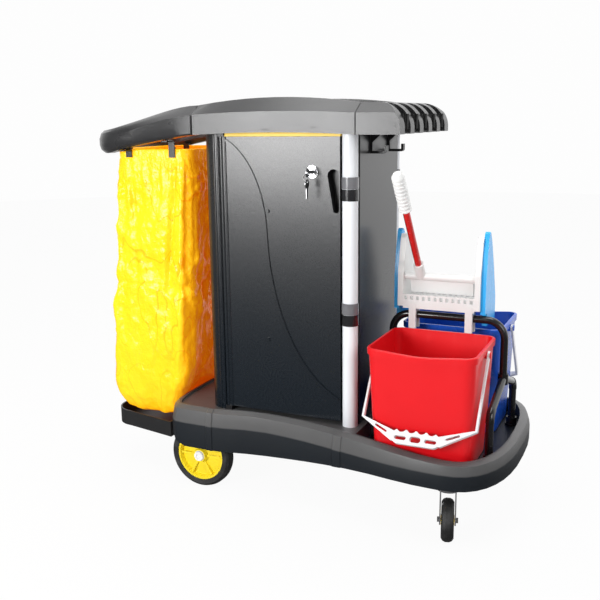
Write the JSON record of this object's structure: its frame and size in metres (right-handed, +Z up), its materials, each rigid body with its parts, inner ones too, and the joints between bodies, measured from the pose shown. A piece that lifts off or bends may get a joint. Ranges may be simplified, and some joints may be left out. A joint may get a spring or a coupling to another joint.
{
  "type": "janitor cart",
  "caption": "Wheeled janitor cart with a lockable cabinet, waste bag on a push handle, tool rack, buckets and a lever wringer on a tube frame.",
  "frame": {"origin": "bottom centre of the bounding box, on the floor", "axes": "+X along the length toward the buckets, -Y toward the cabinet door, +Z up"},
  "size_m": [1.17, 0.56, 1.029],
  "materials": {
    "charcoal_plastic": "satin moulded",
    "black_plastic": "satin moulded",
    "bag_vinyl": "soft vinyl",
    "yellow_plastic": "smooth",
    "red_plastic": "smooth",
    "blue_plastic": "smooth",
    "light_blue_plastic": "smooth",
    "white_plastic": "smooth",
    "white_tube": "white coated",
    "steel": "bright",
    "chrome": "polished",
    "black_tube": "gloss black paint",
    "tyre": "rubber",
    "grip_rubber": "ribbed rubber",
    "red_paint": "gloss red paint"
  },
  "bodies": {
    "cart": {"base_platform": "charcoal_plastic", "base_floor": "charcoal_plastic", "bag_tray": "black_plastic", "axle_brackets": "steel", "rear_axle": "steel", "cabinet_shell": "black_plastic", "end_panel": "charcoal_plastic", "post_near": "white_tube", "post_far": "white_tube", "post_bands_near": "black_plastic", "post_bands_far": "black_plastic", "shelf_lower": "black_plastic", "shelf_upper": "black_plastic", "shelf_rails": "black_plastic", "header_rail": "yellow_plastic", "hinge_brackets": "black_plastic", "hinge_pin": "steel", "centre_tray": "charcoal_plastic", "handle_section": "charcoal_plastic", "tool_rack": "charcoal_plastic", "tool_grips": "grip_rubber", "utility_hooks": "black_plastic", "bag_clips": "black_plastic", "waste_bag": "bag_vinyl", "bucket_frame": "black_tube", "frame_feet": "black_plastic", "blue_bucket": "blue_plastic", "wringer_cheeks": "white_plastic", "wringer_body": "white_plastic", "wringer_shields": "light_blue_plastic", "castor_near_plate": "black_plastic", "castor_far_plate": "black_plastic"},
    "wheel_near": {"wheel_near_tyre": "tyre", "wheel_near_rim": "yellow_plastic", "wheel_near_cap": "white_plastic"},
    "wheel_far": {"wheel_far_tyre": "tyre", "wheel_far_rim": "yellow_plastic", "wheel_far_cap": "white_plastic"},
    "castor_near_swivel": {"castor_near_fork": "chrome", "castor_near_axle": "steel"},
    "castor_near_wheel": {"castor_near_core": "yellow_plastic", "castor_near_tyre": "tyre"},
    "castor_far_swivel": {"castor_far_fork": "chrome", "castor_far_axle": "steel"},
    "castor_far_wheel": {"castor_far_core": "yellow_plastic", "castor_far_tyre": "tyre"},
    "door": {"door_panel": "charcoal_plastic", "door_pull": "black_plastic", "lock_housing": "chrome"},
    "lock": {"lock_plug": "chrome", "key_set": "steel"},
    "red_bucket": {"red_bucket": "red_plastic"},
    "red_bail": {"red_bail": "white_plastic"},
    "blue_bail": {"blue_bail": "white_plastic"},
    "lever": {"rocking_shaft": "white_plastic", "press_plate": "white_plastic", "lever_tube": "red_paint", "lever_grip": "white_plastic"}
  },
  "joints": [
    {"name": "wheel_near_roll", "type": "hinge", "parent": "cart", "child": "wheel_near", "pos_m": [-0.238, -0.182, 0.089], "axis": [0, 1, 0], "continuous": true},
    {"name": "wheel_far_roll", "type": "hinge", "parent": "cart", "child": "wheel_far", "pos_m": [-0.238, 0.182, 0.089], "axis": [0, 1, 0], "continuous": true},
    {"name": "castor_near_swivel", "type": "hinge", "parent": "cart", "child": "castor_near_swivel", "pos_m": [0.448, -0.202, 0.13], "axis": [0, 0, 1], "continuous": true},
    {"name": "castor_near_roll", "type": "hinge", "parent": "castor_near_swivel", "child": "castor_near_wheel", "pos_m": [0.45405, -0.22626, 0.051], "axis": [0.9703, 0.2419, 0], "continuous": true},
    {"name": "castor_far_swivel", "type": "hinge", "parent": "cart", "child": "castor_far_swivel", "pos_m": [0.448, 0.202, 0.13], "axis": [0, 0, 1], "continuous": true},
    {"name": "castor_far_roll", "type": "hinge", "parent": "castor_far_swivel", "child": "castor_far_wheel", "pos_m": [0.45405, 0.17774, 0.051], "axis": [0.9703, 0.2419, 0], "continuous": true},
    {"name": "door_swing", "type": "hinge", "parent": "cart", "child": "door", "pos_m": [-0.1605, -0.165, 0.585], "axis": [0, 0, -1], "range_deg": [0, 110]},
    {"name": "lock_turn", "type": "hinge", "parent": "door", "child": "lock", "pos_m": [0.089, -0.16, 0.853], "axis": [0, -1, 0], "range_deg": [0, 90]},
    {"name": "red_bucket_lift", "type": "slide", "parent": "cart", "child": "red_bucket", "axis": [0, 0, 1], "range_m": [0, 0.1]},
    {"name": "red_bail_swing", "type": "hinge", "parent": "red_bucket", "child": "red_bail", "pos_m": [0.3835, -0.139, 0.437], "axis": [1, 0, 0], "range_deg": [-140, 0]},
    {"name": "blue_bail_swing", "type": "hinge", "parent": "cart", "child": "blue_bail", "pos_m": [0.3835, 0.139, 0.437], "axis": [1, 0, 0], "range_deg": [0, 140]},
    {"name": "lever_press", "type": "hinge", "parent": "cart", "child": "lever", "pos_m": [0.312, 0, 0.585], "axis": [1, 0, 0], "range_deg": [-23, 42]}
  ]
}
